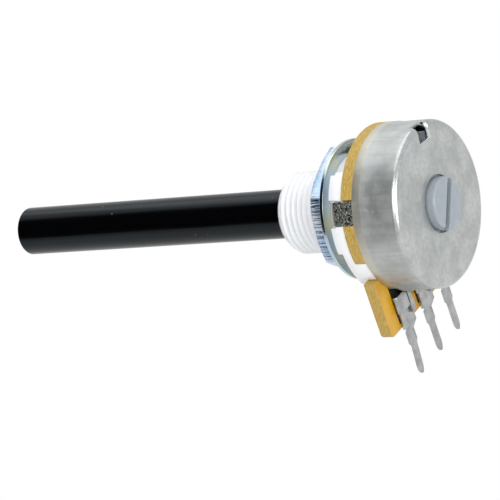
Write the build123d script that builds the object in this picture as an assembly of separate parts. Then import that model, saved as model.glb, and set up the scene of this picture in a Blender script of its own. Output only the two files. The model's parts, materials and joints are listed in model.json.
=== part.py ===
from build123d import *
from math import asin, cos, degrees, radians, sin
import os

# Panel-mount rotary potentiometer, in millimetres, +Z up.
# The shaft lies along Y and points to -Y. The origin is on the shaft axis, in the face of the
# housing that seats on a panel. Angles are measured in the XZ plane, from +X towards +Z.

# Shaft and threaded bush
SHAFT_RADIUS = 3.0
SHAFT_LENGTH = 50.0          # from the panel seat to the tip
SHAFT_TIP_ROUND = 0.25
JOURNAL_RADIUS = 2.8         # where the shaft turns in the bush
JOURNAL_END_Y = 1.45
SPIGOT_RADIUS = 2.4
SPIGOT_FLATS = 3.6
SPIGOT_END_Y = 6.4
BUSH_RADIUS = 5.0            # M10 x 0.75, over the crests
BUSH_LENGTH = 9.25
BUSH_NOSE_RADIUS = 4.15
BUSH_NOSE_LENGTH = 1.0
RUNNING_GAP = 0.05

# Housing behind the panel seat
BOSS_RADIUS = 6.8
FLANGE_FRONT_Y = 2.4
FLANGE_RADIUS = 8.7
WING_RADIUS = 10.05
WING_INNER_RADIUS = 8.2
WING_ANGLES = (-36.0, 53.0)
LUG_FRONT_Y = 1.8
LUG_ANGLES = ((-4.5, 14.5), (33.5, 51.0))
BLOCK_ANGLES = (-30.5, -13.5)
BLOCK_INNER_RADIUS = 9.2
BLOCK_NOTCH_MARGINS = (4.0, 0.7)
RECESS_RADIUS = 4.6
RECESS_FRONT_Y = 1.65

# Nut and washer
NUT_ACROSS_FLATS = 14.0
NUT_THICKNESS = 2.0
NUT_CORNER_ANGLE = 38.0
NUT_CHAMFER_RADIUS = 7.35
NUT_CHAMFER_DEPTH = 0.4
NUT_BORE_GAP = 0.02
WASHER_RADIUS = 8.5
WASHER_BORE_RADIUS = 5.15
WASHER_THICKNESS = 0.5

# Track board
BOARD_FRONT_Y = 3.55
BOARD_THICKNESS = 1.5
BOARD_RADIUS = 10.15
BOARD_HOLE_RADIUS = 4.4
TONGUE_HALF_WIDTH = 9.65
TONGUE_TOP_Z = -5.2
TONGUE_BOTTOM_Z = -12.6
TONGUE_CORNER = 0.4
PRINT_THICKNESS = 0.05
TRACK_RADII = (6.7, 8.5)
TRACK_ANGLES = (-54.0, 252.0)
COLLECTOR_RADII = (4.6, 5.8)
TRACK_LEADS = ((4.0, 7.3), (-5.0, -2.7))
COLLECTOR_LEAD = (0.0, 2.3)
LEAD_BOTTOM_Z = -12.0
LEAD_OVERLAP = 0.9           # how far the leads run up into the ends of the track

# Terminals
PIN_PITCH = 5.0
PIN_TIP_Z = -19.85
STRIP_THICKNESS = 0.38
PIN_CENTRE_Y = 4.5
HEAD_TOP_Z = -8.4
HEAD_BOTTOM_Z = -12.9
HEAD_REACH = (-1.1, 2.5)     # across the pin's centre line, towards -X and +X
SHANK_HALF_WIDTH = 0.8
SHANK_END_Z = -15.6
PIN_HALF_WIDTH = 0.5
PIN_TAPER_Z = -18.8
JOG_END_Z = -14.1
JOG_THICKENING = 0.1
SHOULDER_SLOPE = 0.4
SEAM_WIDTH = 0.25
LONG_WING_END_Z = -11.7
SHORT_WING_END_Z = -10.6
PRONG_HALF_WIDTH = 0.5
PRONG_Z = -10.2
PRONG_FOLD = 1.3

# Rear cover
COVER_RADIUS = 10.05
COVER_WALL = 0.4
COVER_REAR_Y = 11.1
COVER_SHOULDER = 0.75
COVER_HOLE_RADIUS = 3.45
RELIEF_ANGLES = (-134.0, -46.0)
RELIEF_DEPTH = 1.0
TAB_ANGLES = (16.0, 32.5)
TAB_FOLD_RADIUS = 8.9
NOTCH_MARGIN = 0.5
STOP_ANGLE = 99.0
STOP_WIDTH = 2.4
STOP_RADIUS = 8.0
STOP_DEPTH = 1.5
STOP_WALL_CUT = 1.0
LIP_REACH = 0.75

# Rotor and wiper
TRAVEL = 300.0
WIPER_REST_ANGLE = -51.0
STOP_GAP_ANGLE = 0.35
ROTOR_FRONT_Y = 1.75
ROTOR_FRONT_RADIUS = 4.0
DISC_FRONT_Y = 6.7
DISC_THICKNESS = 1.6
DISC_RADIUS = 8.8
COLLAR_RADIUS = 4.4
ROTOR_END_RADIUS = 3.2
ROTOR_END_Y = 12.2
ROTOR_END_ROUND = 0.35
SLOT_WIDTH = 1.0
SLOT_DEPTH = 0.8
LUG_RADII = (6.9, 8.75)
LUG_REAR_Y = 10.3
WIPER_THICKNESS = 0.15
WIPER_BASE = ((4.3, 8.0), (-4.2, -2.9))
WIPER_FINGERS = ((4.75, 5.65), (7.1, 8.0))
WIPER_LIFT = 0.03            # clear of the print, where the real fingers press
CONTACT_HALF_LENGTH = 0.25
TOE_LIFT = 0.45
POST_RADIUS = 0.4
POST_HEIGHT = 0.35
POST_INSET = 0.9

BOARD_REAR_Y = BOARD_FRONT_Y + BOARD_THICKNESS
PRINT_TOP_Y = BOARD_REAR_Y + PRINT_THICKNESS
COVER_INSIDE_Y = COVER_REAR_Y - COVER_WALL
COVER_INSIDE_RADIUS = COVER_RADIUS - COVER_WALL


def polar(radius, angle):
    return (radius * cos(radians(angle)), radius * sin(radians(angle)))


def slab(outline, front_y, rear_y):
    """Extrude an outline drawn in (X, Z) between two planes square to the shaft."""
    return extrude(Plane.XZ.offset(-rear_y) * outline, amount=rear_y - front_y)


def disc(radius, front_y, rear_y):
    return slab(Circle(radius), front_y, rear_y)


def sector(inner, outer, start, end):
    """Outline of a ring sector between two radii and two angles."""
    middle = (start + end) / 2
    return make_face([
        Line(polar(inner, start), polar(outer, start)),
        ThreePointArc(polar(outer, start), polar(outer, middle), polar(outer, end)),
        Line(polar(outer, end), polar(inner, end)),
        ThreePointArc(polar(inner, end), polar(inner, middle), polar(inner, start)),
    ])


def rectangle(low_x, high_x, low_z, high_z):
    corners = [(low_x, low_z), (high_x, low_z), (high_x, high_z), (low_x, high_z)]
    return make_face(Polyline(*corners, close=True))


def turned(*points):
    """Revolve a closed outline of (radius, y) points round the shaft axis."""
    return revolve(make_face(Polyline(*points, close=True)), Axis.Y)


def both_sides(shape):
    """The shape, and its mirror image on the other side of the YZ plane."""
    return [shape, mirror(shape, about=Plane.YZ)]


def at_angle(shape, angle):
    """Turn a shape drawn round +X to stand at an angle of the XZ plane."""
    return Rotation(0, -angle, 0) * shape


def make_shaft():
    """Rod whose shoulder stops at the bush's nose, journal, and double-D end."""
    shoulder_y = -BUSH_LENGTH - RUNNING_GAP
    rod = disc(SHAFT_RADIUS, -SHAFT_LENGTH, shoulder_y)
    tip = rod.edges().filter_by(GeomType.CIRCLE).sort_by(Axis.Y)[0]
    rod = fillet(tip, SHAFT_TIP_ROUND)
    rod += disc(JOURNAL_RADIUS, shoulder_y, JOURNAL_END_Y)
    return rod + make_spigot(SPIGOT_RADIUS, SPIGOT_FLATS)


def make_spigot(radius, flats):
    """Double-D end that carries the turning force into the rotor."""
    round_bar = disc(radius, JOURNAL_END_Y, SPIGOT_END_Y)
    flat_bar = slab(Rectangle(2 * radius, flats), JOURNAL_END_Y, SPIGOT_END_Y)
    return at_angle(round_bar & flat_bar, WIPER_REST_ANGLE)


def make_housing():
    bore = JOURNAL_RADIUS + RUNNING_GAP
    body = turned(
        (bore, -BUSH_LENGTH),
        (BUSH_NOSE_RADIUS, -BUSH_LENGTH),
        (BUSH_RADIUS, BUSH_NOSE_LENGTH - BUSH_LENGTH),
        (BUSH_RADIUS, 0),
        (BOSS_RADIUS, 0),
        (BOSS_RADIUS, FLANGE_FRONT_Y),
        (FLANGE_RADIUS, FLANGE_FRONT_Y),
        (FLANGE_RADIUS, BOARD_FRONT_Y),
        (RECESS_RADIUS, BOARD_FRONT_Y),
        (RECESS_RADIUS, RECESS_FRONT_Y),
        (bore, RECESS_FRONT_Y),
    )
    wing = slab(sector(WING_INNER_RADIUS, WING_RADIUS, *WING_ANGLES), FLANGE_FRONT_Y, BOARD_FRONT_Y)
    for start, end in LUG_ANGLES:
        wing += slab(sector(WING_INNER_RADIUS, WING_RADIUS, start, end), LUG_FRONT_Y, BOARD_FRONT_Y)
    wing -= slab(sector(COVER_INSIDE_RADIUS, WING_RADIUS + 1, *tab_notch()), 0, BOARD_FRONT_Y)
    wing += slab(sector(BLOCK_INNER_RADIUS, WING_RADIUS, *BLOCK_ANGLES), FLANGE_FRONT_Y, BOARD_REAR_Y)
    return body + both_sides(wing)


def tab_notch():
    """Angles of the notch that a cover tab passes through, a little wider than the tab."""
    return TAB_ANGLES[0] - NOTCH_MARGIN, TAB_ANGLES[1] + NOTCH_MARGIN


def make_nut():
    corner_radius = NUT_ACROSS_FLATS / 2 / cos(radians(30))
    rear = -WASHER_THICKNESS
    front = rear - NUT_THICKNESS
    hexagon = RegularPolygon(corner_radius, 6, rotation=NUT_CORNER_ANGLE)
    hole = Circle(BUSH_RADIUS + NUT_BORE_GAP)
    turned_blank = turned(
        (0, front),
        (NUT_CHAMFER_RADIUS, front),
        (corner_radius, front + NUT_CHAMFER_DEPTH),
        (corner_radius, rear - NUT_CHAMFER_DEPTH),
        (NUT_CHAMFER_RADIUS, rear),
        (0, rear),
    )
    return slab(hexagon - hole, front, rear) & turned_blank


def make_washer():
    return slab(Circle(WASHER_RADIUS) - Circle(WASHER_BORE_RADIUS), -WASHER_THICKNESS, 0)


def make_board():
    tongue = rectangle(-TONGUE_HALF_WIDTH, TONGUE_HALF_WIDTH, TONGUE_BOTTOM_Z, TONGUE_TOP_Z)
    tongue = chamfer(tongue.vertices().group_by(Axis.Y)[0], TONGUE_CORNER)
    block_notch = sector(BLOCK_INNER_RADIUS - RUNNING_GAP, BOARD_RADIUS + 1, *block_notch_angles())
    cover_notch = sector(COVER_INSIDE_RADIUS - RUNNING_GAP, BOARD_RADIUS + 1, *tab_notch())
    round_part = Circle(BOARD_RADIUS) - Circle(BOARD_HOLE_RADIUS)
    for notch in both_sides(block_notch) + both_sides(cover_notch):
        round_part -= notch
    board = slab(round_part, BOARD_FRONT_Y, BOARD_REAR_Y) + slab(tongue, BOARD_FRONT_Y, BOARD_REAR_Y)
    board -= disc(BOARD_HOLE_RADIUS, BOARD_FRONT_Y, BOARD_REAR_Y)
    return board - prong_slots()


def prong_slots():
    """Slots through the board and its print, one for the prong of each terminal."""
    half_width = PRONG_HALF_WIDTH + RUNNING_GAP
    half_height = STRIP_THICKNESS / 2 + RUNNING_GAP
    slots = []
    for pin_x in pin_places():
        slot = Pos(pin_x, PRONG_Z) * Rectangle(2 * half_width, 2 * half_height)
        slots.append(slab(slot, BOARD_FRONT_Y, PRINT_TOP_Y))
    return slots


def block_notch_angles():
    """Angles of the board's notch for a housing block; it runs down to the tongue."""
    return BLOCK_ANGLES[0] - BLOCK_NOTCH_MARGINS[0], BLOCK_ANGLES[1] + BLOCK_NOTCH_MARGINS[1]


def pin_places():
    """X of the three pins, the first on the +X side."""
    return [PIN_PITCH, 0, -PIN_PITCH]


def make_track():
    """Horseshoe of carbon with a broad lead to each outer terminal."""
    track = sector(*TRACK_RADII, *TRACK_ANGLES)
    lead_top_z = polar(TRACK_RADII[1], TRACK_ANGLES[0])[1] + LEAD_OVERLAP
    for low_x, high_x in TRACK_LEADS:
        track += rectangle(low_x, high_x, LEAD_BOTTOM_Z, lead_top_z)
    track -= sector(COVER_INSIDE_RADIUS - RUNNING_GAP, BOARD_RADIUS, RELIEF_ANGLES[1], 0)
    return slab(track, BOARD_REAR_Y, PRINT_TOP_Y) - prong_slots()


def make_collector():
    """Inner ring of print with a lead down to the middle terminal."""
    ring = Circle(COLLECTOR_RADII[1]) - Circle(COLLECTOR_RADII[0])
    lead = rectangle(*COLLECTOR_LEAD, LEAD_BOTTOM_Z, -sum(COLLECTOR_RADII) / 2)
    return slab(ring + lead, BOARD_REAR_Y, PRINT_TOP_Y) - prong_slots()


def make_terminal(pin_x):
    """Stamped strip: a head on the board, a forward jog, then a shank and a pin."""
    head_rear = PRINT_TOP_Y + STRIP_THICKNESS
    pin_front = PIN_CENTRE_Y - STRIP_THICKNESS / 2
    pin_rear = PIN_CENTRE_Y + STRIP_THICKNESS / 2
    side = make_face(Polyline(
        (PRINT_TOP_Y, HEAD_TOP_Z),
        (head_rear, HEAD_TOP_Z),
        (head_rear, HEAD_BOTTOM_Z),
        (pin_rear, JOG_END_Z),
        (pin_rear, PIN_TIP_Z),
        (pin_front, PIN_TIP_Z),
        (pin_front, JOG_END_Z - JOG_THICKENING),
        (PRINT_TOP_Y, HEAD_BOTTOM_Z - JOG_THICKENING),
        close=True,
    ))
    low_x, high_x = [pin_x + reach for reach in HEAD_REACH]
    strip = extrude(Plane.YZ.offset(low_x) * side, amount=high_x - low_x)
    head = rectangle(low_x, high_x, HEAD_BOTTOM_Z, HEAD_TOP_Z)
    shank = rectangle(pin_x - SHANK_HALF_WIDTH, pin_x + SHANK_HALF_WIDTH, SHANK_END_Z, HEAD_TOP_Z)
    front = slab(head + shank + pin_outline(pin_x), 0, COVER_REAR_Y)
    return (strip & front) + folded_wings(pin_x, head_rear) + board_prong(pin_x)


def pin_outline(pin_x):
    """Front view of the pin: sloped shoulders, straight sides and a rounded point."""
    shoulder_z = SHANK_END_Z - SHOULDER_SLOPE
    left = [
        (pin_x - PIN_HALF_WIDTH, PIN_TAPER_Z),
        (pin_x - PIN_HALF_WIDTH, shoulder_z),
        (pin_x - SHANK_HALF_WIDTH, SHANK_END_Z),
    ]
    right = [
        (pin_x + SHANK_HALF_WIDTH, SHANK_END_Z),
        (pin_x + PIN_HALF_WIDTH, shoulder_z),
        (pin_x + PIN_HALF_WIDTH, PIN_TAPER_Z),
    ]
    return make_face([Polyline(*left, *right), ThreePointArc(right[-1], (pin_x, PIN_TIP_Z), left[0])])


def folded_wings(pin_x, base_y):
    """The head's two edges, folded flat over it so that they meet in a seam."""
    seam = pin_x + SEAM_WIDTH / 2
    long_wing = rectangle(pin_x + HEAD_REACH[0], seam - SEAM_WIDTH, LONG_WING_END_Z, HEAD_TOP_Z)
    short_wing = rectangle(seam, pin_x + HEAD_REACH[1], SHORT_WING_END_Z, HEAD_TOP_Z)
    return [slab(wing, base_y, base_y + STRIP_THICKNESS) for wing in (long_wing, short_wing)]


def board_prong(pin_x):
    """Prong through the board's slot, folded down on the board's front face."""
    low_x = pin_x - PRONG_HALF_WIDTH
    high_x = pin_x + PRONG_HALF_WIDTH
    top_z = PRONG_Z + STRIP_THICKNESS / 2
    front_y = BOARD_FRONT_Y - STRIP_THICKNESS
    through = slab(rectangle(low_x, high_x, top_z - STRIP_THICKNESS, top_z), front_y, PRINT_TOP_Y)
    return through + slab(rectangle(low_x, high_x, top_z - PRONG_FOLD, top_z), front_y, BOARD_FRONT_Y)


def make_cover():
    cup = turned(
        (COVER_HOLE_RADIUS, COVER_REAR_Y),
        (COVER_RADIUS, COVER_REAR_Y),
        (COVER_RADIUS, BOARD_REAR_Y),
        (COVER_INSIDE_RADIUS, BOARD_REAR_Y),
        (COVER_INSIDE_RADIUS, COVER_INSIDE_Y),
        (COVER_HOLE_RADIUS, COVER_INSIDE_Y),
    )
    circles = cup.edges().filter_by(GeomType.CIRCLE)
    cup = fillet(edge_at(circles, COVER_RADIUS, COVER_REAR_Y), COVER_SHOULDER)
    circles = cup.edges().filter_by(GeomType.CIRCLE)
    cup = fillet(edge_at(circles, COVER_INSIDE_RADIUS, COVER_INSIDE_Y), COVER_SHOULDER - COVER_WALL)
    relief = sector(COVER_INSIDE_RADIUS - 1, COVER_RADIUS + 1, *RELIEF_ANGLES)
    cup -= slab(relief, BOARD_REAR_Y, BOARD_REAR_Y + RELIEF_DEPTH)
    cup -= stop_window()
    for extra in stop_lips() + both_sides(cover_tab()):
        cup += extra
    return cup


def edge_at(edges, radius, y):
    """The circular edge of a given radius nearest to a given place along the shaft."""
    rims = [edge for edge in edges if abs(edge.radius - radius) < 0.01]
    return min(rims, key=lambda edge: abs(edge.center().Y - y))


def cover_tab():
    """Tab along the board's edge, folded inwards in front of the housing."""
    fold_front = FLANGE_FRONT_Y - COVER_WALL
    leg_rear = BOARD_REAR_Y + COVER_WALL
    leg = slab(sector(COVER_INSIDE_RADIUS, COVER_RADIUS, *TAB_ANGLES), fold_front, leg_rear)
    fold = slab(sector(TAB_FOLD_RADIUS, COVER_RADIUS, *TAB_ANGLES), fold_front, FLANGE_FRONT_Y)
    return leg + fold


def stop_box(low_radius, high_radius, front_y, rear_y):
    """Box across the stop's width, between two radii, at the stop's angle."""
    outline = rectangle(low_radius, high_radius, -STOP_WIDTH / 2, STOP_WIDTH / 2)
    return at_angle(slab(outline, front_y, rear_y), STOP_ANGLE)


def stop_window():
    return stop_box(STOP_RADIUS, COVER_RADIUS + 1, COVER_REAR_Y - STOP_WALL_CUT, COVER_REAR_Y + 1)


def stop_lips():
    """The two lips left by the lancing punch: the deep one stops the rotor's lug."""
    deep = stop_box(STOP_RADIUS - COVER_WALL, STOP_RADIUS, COVER_INSIDE_Y - STOP_DEPTH, COVER_REAR_Y)
    lip_rear = COVER_REAR_Y - STOP_WALL_CUT
    lip_outside = COVER_RADIUS - COVER_WALL / 2
    shallow = stop_box(lip_outside - LIP_REACH, lip_outside, lip_rear - COVER_WALL, lip_rear)
    return [deep, shallow]


def make_rotor():
    front_hub = disc(ROTOR_FRONT_RADIUS, ROTOR_FRONT_Y, DISC_FRONT_Y)
    disc_rear = DISC_FRONT_Y + DISC_THICKNESS
    plate = disc(DISC_RADIUS, DISC_FRONT_Y, disc_rear)
    collar = disc(COLLAR_RADIUS, disc_rear, COVER_INSIDE_Y - RUNNING_GAP)
    end = disc(ROTOR_END_RADIUS, disc_rear, ROTOR_END_Y)
    end = fillet(end.edges().filter_by(GeomType.CIRCLE).sort_by(Axis.Y)[-1], ROTOR_END_ROUND)
    slot = slab(Rectangle(4 * ROTOR_END_RADIUS, SLOT_WIDTH), ROTOR_END_Y - SLOT_DEPTH, ROTOR_END_Y + 1)
    rotor = front_hub + plate + collar + end - at_angle(slot, WIPER_REST_ANGLE)
    rotor += slab(sector(*LUG_RADII, *lug_angles()), disc_rear, LUG_REAR_Y)
    rotor += wiper_posts()
    return rotor - make_spigot(SPIGOT_RADIUS, SPIGOT_FLATS) - socket_mouth()


def socket_mouth():
    """Round lead-in that clears the end of the shaft's journal."""
    return disc(JOURNAL_RADIUS + RUNNING_GAP, ROTOR_FRONT_Y - 1, JOURNAL_END_Y)


def lug_angles():
    """Angles of the stop lug at rest, against the stop at the clockwise end of travel."""
    stop_half = degrees(asin(STOP_WIDTH / 2 / (STOP_RADIUS - COVER_WALL)))
    lug_half = (360 - TRAVEL) / 2 - stop_half - STOP_GAP_ANGLE
    centre = STOP_ANGLE + (360 - TRAVEL) / 2
    return centre - lug_half, centre + lug_half


def wiper_posts():
    """Two moulded posts that hold the wiper against the rotor's disc."""
    posts = []
    for along in post_places():
        post = slab(Pos(*along) * Circle(POST_RADIUS), DISC_FRONT_Y - POST_HEIGHT, DISC_FRONT_Y)
        posts.append(at_angle(post, WIPER_REST_ANGLE))
    return posts


def post_places():
    """Centres of the posts, as distances out from the shaft and across the wiper."""
    across = sum(WIPER_BASE[1]) / 2
    return [(WIPER_BASE[0][0] + POST_INSET, across), (WIPER_BASE[0][1] - POST_INSET, across)]


def make_wiper():
    """Flat base under the disc with two bent fingers, one on the track and one on the ring."""
    (low, high), (back, front) = WIPER_BASE
    base_front = DISC_FRONT_Y - WIPER_THICKNESS
    root = front - WIPER_THICKNESS
    contact_front = PRINT_TOP_Y + WIPER_LIFT
    contact_rear = contact_front + WIPER_THICKNESS
    wiper = slab(rectangle(low, high, back, front), base_front, DISC_FRONT_Y)
    for along in post_places():
        wiper -= slab(Pos(*along) * Circle(POST_RADIUS), base_front, DISC_FRONT_Y)
    bend = make_face(Polyline(
        (base_front, root),
        (DISC_FRONT_Y, root),
        (DISC_FRONT_Y, front),
        (contact_rear, -CONTACT_HALF_LENGTH),
        (contact_rear, CONTACT_HALF_LENGTH),
        (contact_rear + TOE_LIFT, CONTACT_HALF_LENGTH + TOE_LIFT),
        (contact_front + TOE_LIFT, CONTACT_HALF_LENGTH + TOE_LIFT + WIPER_THICKNESS),
        (contact_front, CONTACT_HALF_LENGTH),
        (contact_front, -CONTACT_HALF_LENGTH),
        close=True,
    ))
    for start, end in WIPER_FINGERS:
        wiper += extrude(Plane.YZ.offset(start) * bend, amount=end - start)
    return at_angle(wiper, WIPER_REST_ANGLE)


parts = {
    "shaft": make_shaft(),
    "bush_housing": make_housing(),
    "hex_nut": make_nut(),
    "washer": make_washer(),
    "track_board": make_board(),
    "carbon_track": make_track(),
    "collector_ring": make_collector(),
    "rear_cover": make_cover(),
    "rotor": make_rotor(),
    "wiper_contact": make_wiper(),
}
for number, pin_x in enumerate(pin_places(), start=1):
    parts[f"terminal_{number}"] = make_terminal(pin_x)

os.makedirs("parts", exist_ok=True)
for name, shape in parts.items():
    export_step(shape, f"parts/{name}.step")
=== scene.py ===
# %% [markdown]
# # A panel-mount rotary potentiometer
# This lesson dresses a finished CAD model of a small rotary control. The model comes in as a fixed
# frame: every piece is already at its real place and size, with the shaft along Y and its tip
# towards -Y. We add what the solids leave out, such as the thread, rolled edges and folded tabs,
# and give every surface the finish of its real material.

# %% Load the frame
import json
from math import atan2, cos, degrees, hypot, radians, sin, tau

import bpy
from mathutils import Matrix, Vector

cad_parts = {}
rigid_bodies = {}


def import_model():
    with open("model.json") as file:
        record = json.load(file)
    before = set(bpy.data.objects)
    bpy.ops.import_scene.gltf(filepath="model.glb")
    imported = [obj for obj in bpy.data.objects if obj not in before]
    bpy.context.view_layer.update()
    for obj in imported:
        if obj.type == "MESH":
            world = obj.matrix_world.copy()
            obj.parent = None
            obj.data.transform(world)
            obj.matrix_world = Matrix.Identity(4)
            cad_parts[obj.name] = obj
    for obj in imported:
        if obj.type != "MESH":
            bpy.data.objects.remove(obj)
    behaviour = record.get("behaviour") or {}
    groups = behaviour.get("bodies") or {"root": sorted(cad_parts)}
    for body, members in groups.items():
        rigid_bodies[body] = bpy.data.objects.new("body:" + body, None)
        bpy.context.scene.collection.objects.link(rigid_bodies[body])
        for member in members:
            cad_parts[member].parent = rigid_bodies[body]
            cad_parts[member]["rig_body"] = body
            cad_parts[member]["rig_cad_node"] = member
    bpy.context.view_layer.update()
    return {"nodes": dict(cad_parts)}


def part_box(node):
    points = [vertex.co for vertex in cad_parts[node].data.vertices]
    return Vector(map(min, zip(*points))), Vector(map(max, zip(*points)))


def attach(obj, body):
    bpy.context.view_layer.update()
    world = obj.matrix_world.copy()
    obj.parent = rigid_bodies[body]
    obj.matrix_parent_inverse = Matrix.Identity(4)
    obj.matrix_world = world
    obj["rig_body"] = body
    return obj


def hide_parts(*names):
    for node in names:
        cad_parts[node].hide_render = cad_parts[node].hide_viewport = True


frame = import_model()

print("pieces in the frame:", ", ".join(sorted(frame["nodes"])))

# %% [markdown]
# Sizes below are in millimetres, as on a workshop drawing, and `MM` turns them into Blender's
# metres. The few sizes that the frame can tell us are read from it.

# %% Sizes read from the frame
MM = 0.001


def reach(node, axis):
    """Lowest and highest place of a CAD node along one axis, in millimetres."""
    low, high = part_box(node)
    return low[axis] / MM, high[axis] / MM


X, Y, Z = 0, 1, 2
BUSH_FRONT = reach("bush_housing", Y)[0]
NUT_FRONT, NUT_REAR = reach("hex_nut", Y)
BOARD_FRONT, BOARD_REAR = reach("track_board", Y)
CAN_REAR = reach("rear_cover", Y)[1]
CAN_RADIUS = reach("rear_cover", X)[1]
WASHER_RADIUS = reach("washer", X)[1]
print(f"bush from {BUSH_FRONT:.2f}, board from {BOARD_FRONT:.2f}, can back to {CAN_REAR:.2f} mm")

# %% [markdown]
# Modelling "as by hand" means three moves again and again: open one piece in edit mode, select
# some of it by place or direction, and run an operator. These helpers do the first two. The
# imported pieces arrive selected, so everything is deselected before each start.

# %% Helpers for editing a piece


def open_piece(piece):
    """Open one piece in edit mode with nothing selected."""
    bpy.ops.object.select_all(action="DESELECT")
    bpy.context.view_layer.objects.active = piece
    piece.select_set(True)
    bpy.ops.object.mode_set(mode="EDIT")
    bpy.ops.mesh.select_all(action="DESELECT")


def close_piece():
    bpy.ops.object.mode_set(mode="OBJECT")


def centre_of(piece, element):
    """Middle of a vertex, edge or face, in millimetres."""
    if hasattr(element, "co"):
        return element.co / MM
    corners = [piece.data.vertices[i].co for i in element.vertices]
    return sum(corners, Vector()) / len(corners) / MM


def choose(piece, kind, test):
    """Select the vertices, edges or faces whose middle passes the test."""
    bpy.ops.mesh.select_mode(type=kind)
    bpy.ops.mesh.select_all(action="DESELECT")
    close_piece()
    groups = {"VERT": piece.data.vertices, "EDGE": piece.data.edges, "FACE": piece.data.polygons}
    found = 0
    for element in groups[kind]:
        element.select = bool(test(centre_of(piece, element)))
        found += element.select
    bpy.ops.object.mode_set(mode="EDIT")
    return found


def apply_modifier(piece, kind, **settings):
    """Add a modifier with its settings and apply it at once."""
    bpy.context.view_layer.objects.active = piece
    modifier = piece.modifiers.new(kind.lower(), kind)
    for name, value in settings.items():
        setattr(modifier, name, value)
    bpy.ops.object.modifier_apply(modifier=modifier.name)


def smooth(piece, angle=35):
    """Shade smooth, but keep edges sharper than the angle."""
    bpy.ops.object.select_all(action="DESELECT")
    bpy.context.view_layer.objects.active = piece
    piece.select_set(True)
    bpy.ops.object.shade_smooth_by_angle(angle=radians(angle))


def tidy_mesh(piece):
    """Merge doubles and turn every face outwards."""
    open_piece(piece)
    bpy.ops.mesh.select_all(action="SELECT")
    bpy.ops.mesh.remove_doubles(threshold=0.001 * MM)
    bpy.ops.mesh.normals_make_consistent(inside=False)
    close_piece()


print("helpers ready")

# %% [markdown]
# Most of this part is round, so one more helper plays the lathe. It collapses a plane to a single
# point, extrudes that point along a profile of (radius, y), rounds the corners that are asked
# for, and spins the line round the Y axis.

# %% A lathe
TURN_STEPS = 180


def start_point(name, place):
    """A new piece that is one vertex: a plane merged to its middle and moved into place."""
    bpy.ops.object.select_all(action="DESELECT")
    bpy.ops.mesh.primitive_plane_add(size=MM)
    piece = bpy.context.object
    piece.name = name
    piece.data.name = name
    bpy.ops.object.mode_set(mode="EDIT")
    bpy.ops.mesh.select_mode(type="VERT")
    bpy.ops.mesh.select_all(action="SELECT")
    bpy.ops.mesh.merge(type="CENTER")
    bpy.ops.transform.translate(value=Vector(place) * MM)
    return piece


def draw_to(move):
    """Extrude what is selected by a move in millimetres."""
    bpy.ops.mesh.extrude_region_move(TRANSFORM_OT_translate={"value": Vector(move) * MM})


def turn(name, profile, rounds=(), closed=False, steps=TURN_STEPS):
    """Turn a profile of (radius, y) points; rounds are (point number, size) pairs."""
    places = [Vector((radius, y, 0)) for radius, y in profile]
    piece = start_point(name, places[0])
    for last, place in zip(places, places[1:]):
        draw_to(place - last)
    if closed:
        choose(piece, "VERT", lambda p: (p - places[0]).length < 0.001 or (p - places[-1]).length < 0.001)
        bpy.ops.mesh.edge_face_add()
    for number, size in rounds:
        corner = places[number]
        choose(piece, "VERT", lambda p, corner=corner: (p - corner).length < 0.001)
        bpy.ops.mesh.bevel(offset=size * MM, segments=6, affect="VERTICES")
    bpy.ops.mesh.select_all(action="SELECT")
    bpy.ops.mesh.spin(steps=steps, angle=tau, center=(0, 0, 0), axis=(0, 1, 0))
    bpy.ops.mesh.select_all(action="SELECT")
    bpy.ops.mesh.remove_doubles(threshold=0.001 * MM)
    bpy.ops.mesh.normals_make_consistent(inside=False)
    close_piece()
    return piece


def angle_of(place):
    """Angle of a place round the shaft, in degrees from +X towards +Z, from -180 to 180."""
    return degrees(atan2(place.z, place.x))


def finish_piece(piece, node, body):
    """Let a piece stand for a CAD node and ride on its body, with its old finishes cleared."""
    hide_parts(node)
    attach(piece, body)
    piece.data.materials.clear()
    triangles = sum(len(face.vertices) - 2 for face in piece.data.polygons)
    print(f"{piece.name} stands for {node}, {triangles} triangles")


print("lathe ready")

# %% [markdown]
# ## The threaded housing
# The white housing is one moulding: a bush with an M10 x 0.75 thread, a boss, and wings that the
# board rests on. Its solid is already right apart from the thread, so we take a copy, round its
# edges as a mould does, and cut the thread as a die would: a triangle is swept along a helix by
# the Screw modifier, and its path is taken away from the bush.

# %% Copy the housing and round its edges
PITCH = 0.75
THREAD_DEPTH = 0.4
BUSH_RADIUS = 5.0
MOULD_ROUND = 0.09


def merged_copy(node, name):
    """A copy of a CAD mesh with its loose triangles merged into whole flat faces."""
    piece = frame["nodes"][node].copy()
    piece.data = piece.data.copy()
    piece.name = name
    piece.data.name = name
    piece.parent = None
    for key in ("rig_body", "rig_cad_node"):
        del piece[key]
    bpy.context.scene.collection.objects.link(piece)
    open_piece(piece)
    bpy.ops.mesh.select_all(action="SELECT")
    bpy.ops.mesh.remove_doubles(threshold=0.0005 * MM)
    bpy.ops.mesh.dissolve_limited(angle_limit=radians(0.5))
    close_piece()
    return piece


housing = merged_copy("bush_housing", "threaded_housing")
apply_modifier(housing, "BEVEL", width=MOULD_ROUND * MM, segments=2, limit_method="ANGLE",
               angle_limit=radians(40), use_clamp_overlap=True)
print("housing has", len(housing.data.polygons), "faces after rounding")

# %% [markdown]
# The groove is a triangle that turns round the bush as it climbs, one pitch for each turn. It
# starts one pitch in front of the bush, so that the thread runs out cleanly over the front edge.

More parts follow.
